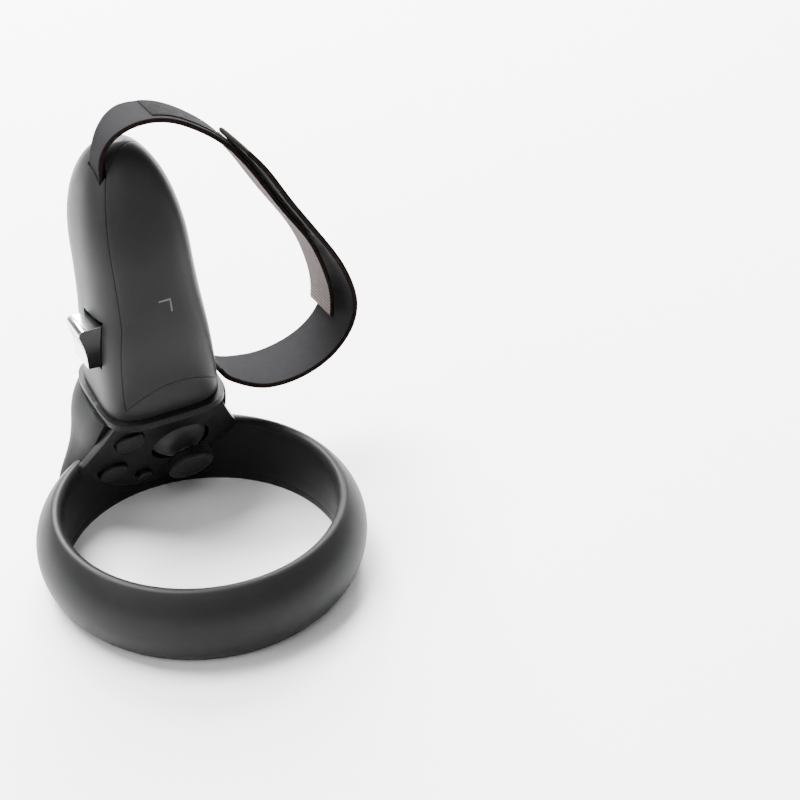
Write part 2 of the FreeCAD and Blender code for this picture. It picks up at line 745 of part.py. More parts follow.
for side in (-1, 1):
    near, far = sorted((side * EAR_IN, side * EAR_OUT))
    bracket.append(box("index_ear_left" if side < 0 else "index_ear_right",
                       (near, 47.4, 31.4), (far, 52.2, 39.0)))
index_holes = rod("index_holes", (-15, *INDEX_PIVOT), (15, *INDEX_PIVOT), "index_pin")
bracket_full = common("bracket_full", fuse("index_bracket_blank", *bracket), bracket_room)
node(cut("index_bracket", bracket_full, index_holes), "index_bracket")
spring_at = Placement(Vector(9.6, *INDEX_PIVOT), Rotation(Vector(0, 1, 0), 90))
node(coil("index_trigger_spring", spring_at, 1.9, 0.25, 1.6, 1.5), "index_trigger_spring")
magnet_at = Vector(0, 54.9, 41.0)
magnet_end = magnet_at + Vector(0, -1.1, 0.8)
node(rod("index_magnet", magnet_at, magnet_end, "1.5"), "index_magnet")
node(box("index_sensor_board", (-4, 44.6, 41.5), (4, 45.2, 49.5)), "index_sensor_board")
node(box("index_hall_sensor", (-1.5, 45.2, 42.6), (1.5, 46.2, 45.6)), "index_hall_sensor")
node(solid("Cylinder", "haptic_motor", Placement(Vector(-9, 39.2, 45.4), Rotation()),
           Radius="5", Height="3.6"), "haptic_motor")

# ---------------------------------------------------------------- grip

DOME_START, GRIP_TOP = dim("dome_start"), dim("grip_top")
ROUND_POWER, SQUARE_POWER = 2.6, 4.2
LEAN = 9.4
LEAN_LOW, LEAN_HIGH = 60.0, 125.0


def progress(height, start, stop):
    """How far a height has come from one level to another, from 0 to 1."""
    return min(max((height - start) / (stop - start), 0), 1)


def grip_size(height):
    """Half width, half depth, centre and squareness of the grip at a height."""
    dome = math.sqrt(1 - progress(height, DOME_START, GRIP_TOP) ** 2)
    lean = progress(height, LEAN_LOW, LEAN_HIGH)
    centre = 33.2 + LEAN * lean * lean * (3 - 2 * lean)
    half_width = (dim("grip_half_width") - 1.9 * progress(height, 57, 98)) * dome
    half_depth = (dim("grip_half_depth") + 2.2 * progress(height, 57, 78)) * dome
    power = SQUARE_POWER + (ROUND_POWER - SQUARE_POWER) * progress(height, 57, 86)
    return half_width, half_depth, centre, power


def grip_loop(height, inset=0.0, level=None):
    """One level loop of the grip, as far inside its surface as the inset."""
    half_width, half_depth, centre, power = grip_size(height)
    level = height if level is None else level
    return loop(half_width - inset, half_depth - inset, centre, level, power)


GRIP_LEVELS = (57.2, 62.0, 68.0, 75.0, 84.0, 94.0, 103.0, 111.0, 118.0, 123.5, 127.5, 129.8, 130.9)


def grip_solid(levels, inset, neck_inset, neck_low):
    """The grip's outer form with its spigot, or its hollow when it is inset. The spigot's
    solid reaches a little up into the form, so that the two join."""
    form = loft([grip_loop(level, inset) for level in levels if level < GRIP_TOP - 3.2 * inset])
    if inset == 0:
        form = form.common(above_neck(COLLAR_TOP))
    overlap = 1.0
    neck = Part.Face(grip_loop(dim("grip_base"), neck_inset, neck_low)).extrude(
        Vector(0, 0, dim("grip_base") + overlap - neck_low))
    return form.fuse(neck)


SKIRT_LEVEL = 48.0
COLLAR_LOW = dim("neck_height") + 0.1
COLLAR_TOP = COLLAR_LOW + dim("collar_height")
grip_outer = grip_solid((SKIRT_LEVEL,) + GRIP_LEVELS, 0.0, dim("spigot_inset"), NECK_PLATE[1])
grip_inner = grip_solid(GRIP_LEVELS, dim("grip_wall"), dim("grip_wall") + 0.15, SKIRT_LEVEL)

# The seam runs up the palm-left corner, and over the top to the far right side.
SEAM_LEVELS = (40.0, 58.0, 82.0, 100.0, 114.0, 125.0, 136.0)


def seam_line(height, gap):
    """Where the seam crosses a level: a point on the left and one on the right."""
    half_width, half_depth, centre, power = grip_size(min(max(height, 57.2), 125.0))
    rise = progress(height, 58, 125)
    left = Vector(-(0.77 - 0.07 * rise) * half_width, centre - (0.90 - 0.08 * rise) * half_depth)
    right = Vector(half_width, centre + 0.12 * half_depth)
    across = (right - left).normalize()
    shift = Vector(across.y, -across.x) * gap
    return left + shift - across * 12, right + shift + across * 12


def palm_side(gap):
    """The space on the palm side of the seam and above the arched lower edge."""
    wires = []
    for height in SEAM_LEVELS:
        left, right = seam_line(height, gap)
        far = Vector(0, -60, 0)
        corners = [Vector(p.x, p.y, height) for p in (left, right, right + far, left + far)]
        wires.append(Part.makePolygon(corners + corners[:1]))
    side = Part.makeLoft(wires, True, True)
    arch_radius, arch_top, arch_x = 22.5, 62.3, 2.0
    arch = Part.makeCylinder(arch_radius + gap, 80, Vector(arch_x, -30, arch_top - arch_radius),
                             Vector(0, 1, 0))
    floor = Part.makeBox(80, 80, 60, Vector(-40, -30, 53.6 + gap - 60))
    return side.cut(arch).cut(floor)


SQUEEZE_LOW, SQUEEZE_HIGH = 67.8, 83.3
squeeze_start = dim("squeeze_start") - 0.4
squeeze_window = Part.makeBox(20, dim("squeeze_width") + 0.8, SQUEEZE_HIGH - SQUEEZE_LOW,
                              Vector(-30, squeeze_start, SQUEEZE_LOW))
# The strap's narrow end goes down through a slot in the left of the dome.
SLOT_Y = 33.7
STRAP_SLOT_X = (-9.1, -6.4)
strap_slot = Part.makeBox(STRAP_SLOT_X[1] - STRAP_SLOT_X[0], dim("strap_slot_width") + 0.6, 30,
                          Vector(STRAP_SLOT_X[0], SLOT_Y - 0.3, 115))
shell = grip_outer.cut(grip_inner)
screw_posts = [Part.makeCylinder(1.9, 5.2, Vector(x, y, NECK_PLATE[1])) for x, y in NECK_SCREWS]
screw_posts = [post.common(grip_outer) for post in screw_posts]
housing = shell.fuse(screw_posts).cut(palm_side(0.0)).cut(squeeze_window).cut(strap_slot)
for x, y in NECK_SCREWS:
    housing = housing.cut(Part.makeCylinder(0.8, 8, Vector(x, y, NECK_PLATE[1] - 2)))
node(freeform("grip_housing", largest(housing)), "grip_housing")
cover = shell.common(palm_side(dim("seam_gap")))
node(freeform("battery_cover", largest(cover)), "battery_cover")

# ---------------------------------------------------------------- battery bay

CELL_X, CELL_Y = dim("cell_x"), dim("cell_y")
TRAY_LOW = dim("tray_bottom")
TRAY_IN = TRAY_LOW + dim("tray_end")
TRAY_TOP = TRAY_LOW + dim("tray_length") - dim("tray_end")


def upright(name, height, length, radius):
    """A cylinder on the cell's axis."""
    return solid("Cylinder", name, Placement(Vector(CELL_X, CELL_Y, height), Rotation()),
                 Radius=radius, Height=length)


tray_tube = upright("tray_tube", TRAY_LOW, "tray_length", "tray_radius")
tray_bore = upright("tray_bore", TRAY_IN, "tray_length - 2 * tray_end", "cell_radius + 0.35")
tray_mouth = box("tray_mouth", (CELL_X - 10, CELL_Y - 12, TRAY_IN), (CELL_X + 10, CELL_Y - 4, TRAY_TOP))
node(cut("battery_tray", tray_tube, fuse("tray_cuts", tray_bore, tray_mouth)), "battery_tray")
node(box("contact_plate", (CELL_X - 4, CELL_Y - 4, TRAY_IN), (CELL_X + 4, CELL_Y + 4, TRAY_IN + 0.4)),
     "contact_plate")
nub_low = TRAY_IN + 0.4
body_low = nub_low + dim("nub_length")
node(fuse("battery_cell", upright("cell_nub", nub_low, "nub_length + 0.5", "nub_radius"),
          upright("cell_body", body_low, "cell_length", "cell_radius")), "battery_cell")
spring_low = body_low + dim("cell_length") + 0.3
node(coil("contact_spring", Placement(Vector(CELL_X, CELL_Y, spring_low), Rotation()),
          3.0, 0.25, TRAY_TOP - 0.1 - spring_low, 1.5), "contact_spring")
node(box("grip_board", (-7.2, 24.5, 68.0), (-6.2, 31.5, 100.0)), "grip_board")
node(box("squeeze_hall_sensor", (-8.2, 26.6, 78.0), (-7.2, 29.6, 81.0)), "squeeze_hall_sensor")
node(box("grip_flex", (-3.8, 41.0, 46.5), (2.5, 41.25, 55.6)), "grip_flex")
LATCH_Z = (56.0, 63.4)
latch_back = 17.9
latch = Part.makeBox(9, 1.2, LATCH_Z[1] - LATCH_Z[0], Vector(-4.5, latch_back, LATCH_Z[0]))
latch = latch.cut(shell)
node(freeform("cover_latch", largest(latch)), "cover_latch")

# ---------------------------------------------------------------- grip trigger

squeeze_x, squeeze_z = dim("squeeze_x"), dim("squeeze_z")
lever_end = dim("squeeze_start") + dim("squeeze_width")
lever_blank = padded(
    "grip_trigger_blank", "XZ_Plane",
    [("-9.9", "62.6"), ("-9.9", "66.6"), ("-12.6", "69"), ("-12.6", "81.8"), ("-20.9", "81.9"),
     ("-23.1", "80.2"), ("-21.4", "68.9"), ("-15.2", "68.4"), ("-13.7", "66.9"),
     ("-13.7", "62.6")],
    {4: (-22.5, 81.5), 5: (-21.7, 74.6)},
    "squeeze_width", -lever_end)
squeeze_bore = rod("squeeze_bore", (squeeze_x, 20, squeeze_z), (squeeze_x, 50, squeeze_z),
                   "squeeze_pin + pin_play")
node(cut("grip_trigger", lever_blank, squeeze_bore), "grip_trigger")
ear_low, ear_high = 23.6, 41.0
node(rod("grip_trigger_pin", (squeeze_x, ear_low, squeeze_z), (squeeze_x, ear_high, squeeze_z),
         "squeeze_pin"), "grip_trigger_pin")
carrier = [box("squeeze_back", (-9.2, ear_low, 61.5), (-8.0, ear_high, 67.0)),
           box("squeeze_ear_low", (-12.7, ear_low, 61.5), (-8.0, ear_low + 1.6, 67.0)),
           box("squeeze_ear_high", (-12.7, ear_high - 1.6, 61.5), (-8.0, ear_high, 67.0))]
squeeze_holes = rod("squeeze_holes", (squeeze_x, 20, squeeze_z), (squeeze_x, 50, squeeze_z),
                    "squeeze_pin")
node(cut("grip_trigger_bracket", fuse("carrier_blank", *carrier), squeeze_holes),
     "grip_trigger_bracket")
squeeze_spring_at = Placement(Vector(squeeze_x, lever_end + 0.5, squeeze_z),
                              Rotation(Vector(1, 0, 0), -90))
node(coil("grip_trigger_spring", squeeze_spring_at, 1.35, 0.2, 1.5, 1.5), "grip_trigger_spring")
node(rod("grip_magnet", (-12.6, 31.0, 79.5), (-11.2, 31.0, 79.5), "2"), "grip_magnet")

# ---------------------------------------------------------------- strap


def spine_of(points):
    """A smooth curve through points in X and Z."""
    spine = Part.BSplineCurve()
    spine.interpolate([Vector(x, 0, z) for x, z in points])
    return spine


def beside(spine, place, lift):
    """The point at a lift to the left of the curve, given by the curve's own parameter."""
    along = spine.tangent(place)[0]
    return spine.value(place) + Vector(-along.z, 0, along.x) * lift


def ribbon(spine, thickness, low, width, lift=0.0, ends=None):
    """A band of even thickness along a curve, spread along Y. It lies to the curve's left,
    lifted off it when asked, and may run only between two points near the curve."""
    start, stop = spine.FirstParameter, spine.LastParameter
    if ends:
        start, stop = [spine.parameter(Vector(x, 0, z)) for x, z in ends]
    count = 60
    places = [start + (stop - start) * index / count for index in range(count + 1)]
    inner = [beside(spine, place, lift) for place in places]
    outer = [beside(spine, place, lift + thickness) for place in places]
    edges = []
    for side in (inner, outer):
        curve = Part.BSplineCurve()
        curve.interpolate(side)
        edges.append(curve.toShape())
    edges.append(Part.makeLine(inner[0], outer[0]))
    edges.append(Part.makeLine(inner[-1], outer[-1]))
    face = Part.Face(Part.Wire(Part.__sortEdges__(edges)))
    face.translate(Vector(0, low, 0))
    return face.extrude(Vector(0, width, 0))


# Lower face of the narrow strap, from inside the dome, over its top and down the far side.
UNDER_PATH = ((-7.3, 118.5), (-7.3, 123.5), (-6.9, 128.5), (-4.4, 133.2), (0.6, 136.3),
              (7.0, 137.2), (14.5, 135.6), (21.6, 131.7), (28.6, 126.2), (35.4, 118.3),
              (41.2, 109.3), (49.0, 97.0), (56.4, 85.4), (61.0, 73.6), (62.9, 64.0), (62.6, 57.2))
STRAP_LOW = 33.4
under_spine = spine_of(UNDER_PATH)
under = ribbon(under_spine, dim("strap_under"), STRAP_LOW, dim("strap_narrow"))
slot_end = STRAP_LOW + 0.3 + dim("strap_slot_width")
taper = Part.makePolygon([Vector(-16, slot_end, 100), Vector(-5.5, slot_end, 100),
                          Vector(6.0, STRAP_LOW + dim("strap_narrow"), 100), Vector(6, 60, 100),
                          Vector(-16, 60, 100), Vector(-16, slot_end, 100)])
under = under.cut(Part.Face(taper).extrude(Vector(0, 0, 60)))
tuck = Part.makeBox(20, 0.3, 40, Vector(-16, STRAP_LOW, 100))
node(freeform("strap_upper", largest(under.cut(tuck))), "strap_upper")
node(rod("strap_anchor", (-8.1, 33.7, 117.3), (-8.1, 41.5, 117.3), "1.2"), "strap_anchor")

# The hook patch joins the overlap, and the broad strap runs on outside it to the collar.
OVER_START = (31.3, 123.4)
PATCH_ENDS = ((32.4, 122.1), (54.2, 88.8))
patch = ribbon(under_spine, dim("patch_thickness"), STRAP_LOW + 0.5, dim("strap_narrow") - 1.0,
               dim("strap_under"), PATCH_ENDS)
node(freeform("hook_patch", patch), "hook_patch")
over_lift = dim("strap_under") + dim("patch_thickness") + 0.05
OVER_PATH = []
for x, z in (OVER_START,) + UNDER_PATH[9:12]:
    point = beside(under_spine, under_spine.parameter(Vector(x, 0, z)), over_lift)
    OVER_PATH.append((point.x, point.z))
OVER_PATH += [(59.2, 85.6), (64.9, 74.2), (67.0, 64.6), (64.4, 56.0), (58.6, 49.8), (50.2, 45.9),
              (40.5, 44.6), (32.0, 46.2), (27.2, 48.4), (23.7, 51.0), (21.5, 54.6)]
BROAD_LOW = 25.4
BROAD_HIGH = BROAD_LOW + dim("strap_broad")
over = ribbon(spine_of(OVER_PATH), dim("strap_over"), BROAD_LOW, dim("strap_broad"))
# Near the collar the band narrows from both edges.
NARROWING = ((33.0, 0.0), (28.5, 1.4), (25.5, 2.6), (15.0, 2.6), (15.0, -5.0), (33.0, -5.0))
for edge, inward in ((BROAD_LOW, 1), (BROAD_HIGH, -1)):
    corners = [Vector(x, edge + inward * y, 40) for x, y in NARROWING]
    wedge = Part.Face(Part.makePolygon(corners + corners[:1]))
    over = over.cut(wedge.extrude(Vector(0, 0, 22)))
node(freeform("strap_lower", largest(over)), "strap_lower")

# Collar: the strap's closed loop round the neck, between the head and the grip.
collar_reach = Vector(0, 0, COLLAR_TOP + 1 - SKIRT_LEVEL)
collar = Part.Face(grip_loop(dim("grip_base"), -1.5, SKIRT_LEVEL - 1)).extrude(collar_reach)
collar_hole = Part.Face(grip_loop(dim("grip_base"), dim("spigot_inset") - 0.15, SKIRT_LEVEL - 1))
collar = collar.cut(collar_hole.extrude(collar_reach))
collar = collar.common(above_neck(COLLAR_LOW)).cut(above_neck(COLLAR_TOP - 0.05))
node(freeform("strap_collar", largest(collar)), "strap_collar")

# ---------------------------------------------------------------- check and write

doc.recompute()
for part in nodes:
    place = part.Placement
    part.Placement = Placement(Vector(0, 0, -REST), Rotation()).multiply(place)
doc.recompute()
faults = [part.Name for part in doc.Objects if {"Invalid", "Error"} & set(part.State)]
faults += [part.Label for part in nodes if part.Shape.isNull() or not part.Shape.isValid()]
faults += [part.Label for part in nodes if not part.Shape.Solids]
if faults:
    raise SystemExit("failed: " + ", ".join(faults))

os.makedirs("parts", exist_ok=True)
for part in nodes:
    part.Shape.exportStep("parts/" + part.Label + ".step")
    print("%-22s %9.1f mm3, solids %d" % (part.Label, part.Shape.Volume, len(part.Shape.Solids)))
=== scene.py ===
import json
import math

import bmesh
import bpy
import numpy as np
from mathutils import Matrix, Vector


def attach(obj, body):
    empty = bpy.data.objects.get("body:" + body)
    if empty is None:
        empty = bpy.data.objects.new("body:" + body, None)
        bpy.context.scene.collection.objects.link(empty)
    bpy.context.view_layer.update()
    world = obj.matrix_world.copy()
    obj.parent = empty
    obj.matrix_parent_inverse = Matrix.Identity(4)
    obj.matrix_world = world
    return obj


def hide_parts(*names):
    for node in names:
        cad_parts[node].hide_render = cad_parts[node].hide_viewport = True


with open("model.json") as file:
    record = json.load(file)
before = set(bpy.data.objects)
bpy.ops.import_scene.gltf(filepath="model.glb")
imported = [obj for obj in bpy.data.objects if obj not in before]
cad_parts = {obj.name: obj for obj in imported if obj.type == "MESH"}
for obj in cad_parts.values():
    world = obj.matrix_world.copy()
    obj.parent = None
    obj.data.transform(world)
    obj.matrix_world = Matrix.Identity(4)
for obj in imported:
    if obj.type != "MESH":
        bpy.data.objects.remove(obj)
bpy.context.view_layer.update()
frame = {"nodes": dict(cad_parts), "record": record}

# A left-hand motion controller with a knuckle strap, standing on its tracking ring. The
# frame is the CAD model's: metres, +Z up, the index trigger towards +Y, the strap on +X.

MM = 0.001
NODES = frame["nodes"]

# The strap's route, in millimetres over the layout plane that the CAD model starts from.
LAYOUT_DROP = 6.4
UNDER_ROUTE = ((-7.3, 118.5), (-7.3, 123.5), (-6.9, 128.5), (-4.4, 133.2), (0.6, 136.3),
               (7.0, 137.2), (14.5, 135.6), (21.6, 131.7), (28.6, 126.2), (35.4, 118.3),
               (41.2, 109.3), (49.0, 97.0), (56.4, 85.4), (61.0, 73.6), (62.9, 64.0),
               (62.6, 57.2))
OVER_START = (31.3, 123.4)
OVER_ROUTE = ((59.2, 85.6), (64.9, 74.2), (67.0, 64.6), (64.4, 56.0), (58.6, 49.8), (50.2, 45.9),
              (40.5, 44.6), (32.0, 46.2), (27.2, 48.4), (23.7, 51.0), (21.5, 54.6))
UNDER_THICK, PATCH_THICK, OVER_THICK = 1.6, 0.6, 1.8
UNDER_Y = (33.4, 48.4)
OVER_Y = (25.4, 46.4)

# The face plate's own frame: X across, Y up the plate, Z out of it.
PLATE_TILT = math.radians(28.8)
PLATE = (Matrix.Translation((0, 29.95 * MM, (32.0 - LAYOUT_DROP) * MM))
         @ Matrix.Rotation(math.radians(90) + PLATE_TILT, 4, "X"))
STICK_AT = (7.0, -2.7)
STICK_PIVOT = -7.0
BUTTONS = {"x_button": (-15.4, -8.7), "y_button": (-11.5, 8.5)}
MENU_AT = (-4.0, -17.5)


# ---------------------------------------------------------------- materials


def shader_kit(name):
    """A new material with its node tree, its main shader and a maker of linked nodes."""
    material = bpy.data.materials.new(name)
    material.use_nodes = True
    tree = material.node_tree
    shader = tree.nodes["Principled BSDF"]

    def add(kind, links=(), **values):
        made = tree.nodes.new(kind)
        for key, value in values.items():
            if hasattr(made, key):
                setattr(made, key, value)
            else:
                made.inputs[key.replace("_", " ")].default_value = value
        for socket, source in links:
            tree.links.new(source, made.inputs[socket])
        return made

    return material, tree, shader, add


def ramp(add, source, low, high, dark, light):
    """A colour ramp between two grey or coloured stops."""
    made = add("ShaderNodeValToRGB", [("Fac", source)])
    made.color_ramp.elements[0].position = low
    made.color_ramp.elements[1].position = high
    made.color_ramp.elements[0].color = (*dark, 1)
    made.color_ramp.elements[1].color = (*light, 1)
    return made


def grey(value):
    """A grey with the faint blue of charcoal plastic."""
    return (value, value, value * 1.03)


def moulded(name, level, rough, grain=0.12, grain_size=0.35, coat=0.0, shine=0.35):
    """Moulded plastic: fine spark-eroded grain, slow tone changes and uneven gloss."""
    material, tree, shader, add = shader_kit(name)
    place = add("ShaderNodeTexCoord").outputs["Object"]
    fine = add("ShaderNodeTexNoise", [("Vector", place)], Scale=1 / (grain_size * MM), Detail=3.0)
    slow = add("ShaderNodeTexNoise", [("Vector", place)], Scale=45.0, Detail=4.0, Roughness=0.6)
    smears = add("ShaderNodeTexNoise", [("Vector", place)], Scale=140.0, Detail=6.0,
                 Roughness=0.7)
    tone = ramp(add, slow.outputs["Fac"], 0.3, 0.7, grey(level * 0.9), grey(level * 1.1))
    gloss = add("ShaderNodeMapRange", [("Value", smears.outputs["Fac"])])
    gloss.inputs["To Min"].default_value = rough - 0.05
    gloss.inputs["To Max"].default_value = rough + 0.07
    bump = add("ShaderNodeBump", [("Height", fine.outputs["Fac"])], Strength=grain,
               Distance=0.05 * MM)
    tree.links.new(tone.outputs["Color"], shader.inputs["Base Color"])
    tree.links.new(gloss.outputs["Result"], shader.inputs["Roughness"])
    tree.links.new(bump.outputs["Normal"], shader.inputs["Normal"])
    shader.inputs["Coat Weight"].default_value = coat
    shader.inputs["Coat Roughness"].default_value = 0.12
    shader.inputs["Specular IOR Level"].default_value = shine
    return material


def metal(name, color, rough):
    """Metal with fine scratches that blur its shine along one direction."""
    material, tree, shader, add = shader_kit(name)
    place = add("ShaderNodeTexCoord").outputs["Object"]
    stretched = add("ShaderNodeMapping", [("Vector", place)])
    stretched.inputs["Scale"].default_value = (900, 900, 120)
    lines = add("ShaderNodeTexNoise", [("Vector", stretched.outputs["Vector"])], Scale=4.0,
                Detail=5.0)
    tone = ramp(add, lines.outputs["Fac"], 0.25, 0.75, [c * 0.88 for c in color], color)
    gloss = add("ShaderNodeMapRange", [("Value", lines.outputs["Fac"])])
    gloss.inputs["To Min"].default_value = max(rough - 0.04, 0.02)
    gloss.inputs["To Max"].default_value = rough + 0.06
    bump = add("ShaderNodeBump", [("Height", lines.outputs["Fac"])], Strength=0.15,
               Distance=0.01 * MM)
    tree.links.new(tone.outputs["Color"], shader.inputs["Base Color"])
    tree.links.new(gloss.outputs["Result"], shader.inputs["Roughness"])
    tree.links.new(bump.outputs["Normal"], shader.inputs["Normal"])
    shader.inputs["Metallic"].default_value = 1.0
    return material


def plated_with_painted_reflection(name, rough):
    """Gloss black with bright metal painted on the faces that turn up and outwards, towards the
    lamps: a painted reflection.
    """
    material, tree, shader, add = shader_kit(name)
    # Faces turned up and to the left, by world direction, get the bright metal: painted reflection.
    facing = add("ShaderNodeVectorMath", [(0, add("ShaderNodeNewGeometry").outputs["Normal"])],
                 operation="DOT_PRODUCT")
    facing.inputs[1].default_value = (-0.6, 0.0, 0.8)
    painted_reflection_mask = ramp(add, facing.outputs["Value"], 0.34, 0.5, (0, 0, 0), (1, 1, 1))
    place = add("ShaderNodeTexCoord").outputs["Object"]
    smears = add("ShaderNodeTexNoise", [("Vector", place)], Scale=260.0, Detail=5.0)
    tone = add("ShaderNodeMix", [("Factor", painted_reflection_mask.outputs["Color"])], data_type="RGBA")
    tone.inputs["A"].default_value = (0.003, 0.003, 0.0032, 1)
    tone.inputs["B"].default_value = (0.75, 0.76, 0.78, 1)
    gloss = add("ShaderNodeMapRange", [("Value", smears.outputs["Fac"])])
    gloss.inputs["To Min"].default_value = rough
    gloss.inputs["To Max"].default_value = rough + 0.08
    tree.links.new(tone.outputs["Result"], shader.inputs["Base Color"])
    tree.links.new(painted_reflection_mask.outputs["Color"], shader.inputs["Metallic"])
    tree.links.new(gloss.outputs["Result"], shader.inputs["Roughness"])
    shader.inputs["Specular IOR Level"].default_value = 0.2
    return material


def knit(name, dark, light, pitch=0.3, rough=0.82):
    """Close-knit strap cloth: crossed rows of small loops with lint-like tone changes."""
    material, tree, shader, add = shader_kit(name)
    place = add("ShaderNodeTexCoord").outputs["UV"]
    rows = add("ShaderNodeTexWave", [("Vector", place)], bands_direction="X",
               Scale=1 / (pitch * 6.28), Distortion=0.7, Detail=2.0)
    columns = add("ShaderNodeTexWave", [("Vector", place)], bands_direction="Y",
                  Scale=1 / (pitch * 6.28 * 0.7), Distortion=0.7, Detail=2.0)
    loops = add("ShaderNodeMath", [(0, rows.outputs["Fac"]), (1, columns.outputs["Fac"])],
                operation="MULTIPLY")
    lint = add("ShaderNodeTexNoise", [("Vector", place)], Scale=0.35, Detail=8.0, Roughness=0.7)
    mixed = add("ShaderNodeMath", [(0, loops.outputs["Value"]), (1, lint.outputs["Fac"])],
                operation="MULTIPLY")
    tone = ramp(add, mixed.outputs["Value"], 0.05, 0.5, dark, light)
    bump = add("ShaderNodeBump", [("Height", loops.outputs["Value"])], Strength=0.3,
               Distance=0.06 * MM)
    tree.links.new(tone.outputs["Color"], shader.inputs["Base Color"])
    tree.links.new(bump.outputs["Normal"], shader.inputs["Normal"])
    shader.inputs["Roughness"].default_value = rough
    shader.inputs["Specular IOR Level"].default_value = 0.03
    return material


def speckled(name, dark, light, size, rough, bump_depth=0.05, shine=0.4):
    """An uneven surface such as foam edge, hook tape, lacquer or printed film."""
    material, tree, shader, add = shader_kit(name)
    place = add("ShaderNodeTexCoord").outputs["Object"]
    cells = add("ShaderNodeTexVoronoi", [("Vector", place)], Scale=1 / (size * MM))
    cloud = add("ShaderNodeTexNoise", [("Vector", place)], Scale=1 / (size * 4 * MM), Detail=5.0)
    mixed = add("ShaderNodeMath", [(0, cells.outputs["Distance"]), (1, cloud.outputs["Fac"])],
                operation="MULTIPLY")
    tone = ramp(add, mixed.outputs["Value"], 0.05, 0.45, dark, light)
    bump = add("ShaderNodeBump", [("Height", cells.outputs["Distance"])], Strength=0.5,
               Distance=bump_depth * MM)
    tree.links.new(tone.outputs["Color"], shader.inputs["Base Color"])
    tree.links.new(bump.outputs["Normal"], shader.inputs["Normal"])
    shader.inputs["Roughness"].default_value = rough
    shader.inputs["Specular IOR Level"].default_value = shine
    return material


LOOKS = {
    "ring_plastic": moulded("ring_plastic", 0.010, 0.42, shine=0.09),
    "liner_plastic": moulded("liner_plastic", 0.009, 0.42, grain=0.08, shine=0.07),
    "body_plastic": moulded("body_plastic", 0.012, 0.42, shine=0.12),
    "plate_plastic": moulded("plate_plastic", 0.007, 0.36, grain=0.08, shine=0.08),
    "button_plastic": moulded("button_plastic", 0.005, 0.30, grain=0.04, shine=0.14),
    "stick_rubber": moulded("stick_rubber", 0.004, 0.5, grain=0.3, grain_size=0.25, shine=0.1),
    "inner_plastic": moulded("inner_plastic", 0.05, 0.5),
    # The grip trigger's upper and outer faces carry a painted reflection.
    "trigger_gloss": plated_with_painted_reflection("trigger_gloss", 0.10),
    "trigger_plastic": moulded("trigger_plastic", 0.004, 0.34, shine=0.14),
    "sensor_black": moulded("sensor_black", 0.015, 0.45),
    "lamp_lens": moulded("lamp_lens", 0.20, 0.12, grain=0.02, coat=0.6),
    "steel": metal("steel", (0.56, 0.56, 0.55), 0.28),
    "magnet": metal("magnet", (0.62, 0.61, 0.58), 0.16),
    "board": speckled("board", (0.002, 0.006, 0.004), (0.004, 0.014, 0.008), 1.4, 0.35),
    "flex_film": speckled("flex_film", (0.16, 0.07, 0.015), (0.34, 0.15, 0.04), 2.0, 0.3),
    "cell_sleeve": speckled("cell_sleeve", (0.10, 0.11, 0.12), (0.2, 0.21, 0.22), 2.5, 0.3),
    "strap_webbing": knit("strap_webbing", (0.011, 0.011, 0.0117), (0.021, 0.021, 0.0222)),
    "hook_tape": speckled("hook_tape", (0.003, 0.003, 0.003), (0.014, 0.014, 0.015), 0.5, 0.85,
                          bump_depth=0.15, shine=0.03),
}
STRAP_LINING = knit("strap_lining", (0.09, 0.075, 0.072), (0.24, 0.21, 0.205), pitch=0.6, rough=0.9)
RAW_EDGE = speckled("strap_raw_edge", (0.002, 0.0015, 0.0015), (0.009, 0.005, 0.004), 0.5, 0.85,
                    bump_depth=0.12, shine=0.03)
PRINT = moulded("side_mark_print", 0.06, 0.5, grain=0.03)

OWN_LOOKS = {
    # The head housing takes a darker, less shiny copy of the body plastic: its darker colour is
    # painted shade on the head.
    "head_housing": moulded("head_plastic_painted_shade", 0.005, 0.42, shine=0.03),
    "strap_collar": moulded("collar_plastic", 0.007, 0.40, shine=0.09),
}

for piece in frame["record"]["subparts"]:
    look = OWN_LOOKS.get(piece["node"], LOOKS[piece["material_slot"]])
    held = NODES[piece["node"]].data.materials
    held.clear()
    held.append(look)


def soften(name, width, limit=38.0):
    """Joins a CAD node's faces and rounds its sharp edges a little, as moulding does."""
    part = NODES[name]
    weld = part.modifiers.new("weld", "WELD")
    weld.merge_threshold = 0.002 * MM
    rounded = part.modifiers.new("rounded", "BEVEL")
    rounded.width = width * MM
    rounded.segments = 3
    rounded.limit_method = "ANGLE"
    rounded.angle_limit = math.radians(limit)
    rounded.use_clamp_overlap = True
    rounded.harden_normals = False


# ---------------------------------------------------------------- mesh helpers


def finished(name, vertices, faces, materials, body):
    """A mesh piece from points in metres, riding on a body. Faces are index tuples."""
    mesh = bpy.data.meshes.new(name)
    mesh.from_pydata([tuple(v) for v in vertices], [], faces)
    mesh.update()
    piece = bpy.data.objects.new(name, mesh)
    bpy.context.scene.collection.objects.link(piece)
    for material in materials:
        mesh.materials.append(material)
    mesh.polygons.foreach_set("use_smooth", [True] * len(mesh.polygons))
    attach(piece, body)
    return piece


def lathe(profile, count, place, ripple=None):
    """Points and faces of a profile of (radius, height) in millimetres turned about Z and
    set in place. A profile starts and ends on the axis. Ripple moves the radius by angle."""
    vertices, faces = [], []
    rings = []
    for step, (radius, height) in enumerate(profile):
        if radius < 1e-6:
            rings.append([len(vertices)])
            vertices.append(place @ Vector((0, 0, height * MM)))
            continue
        ring = []
        for index in range(count):
            angle = 2 * math.pi * index / count
            reach = radius + (ripple(step, angle) if ripple else 0.0)
            ring.append(len(vertices))
            vertices.append(place @ Vector((reach * math.cos(angle) * MM,
                                            reach * math.sin(angle) * MM, height * MM)))
        rings.append(ring)
    for below, above in zip(rings, rings[1:]):
        for index in range(count):
            after = (index + 1) % count
            if len(below) == 1:
                faces.append((below[0], above[after], above[index]))
            elif len(above) == 1:
                faces.append((below[index], below[after], above[0]))
            else:
                faces.append((below[index], below[after], above[after], above[index]))
    return vertices, faces


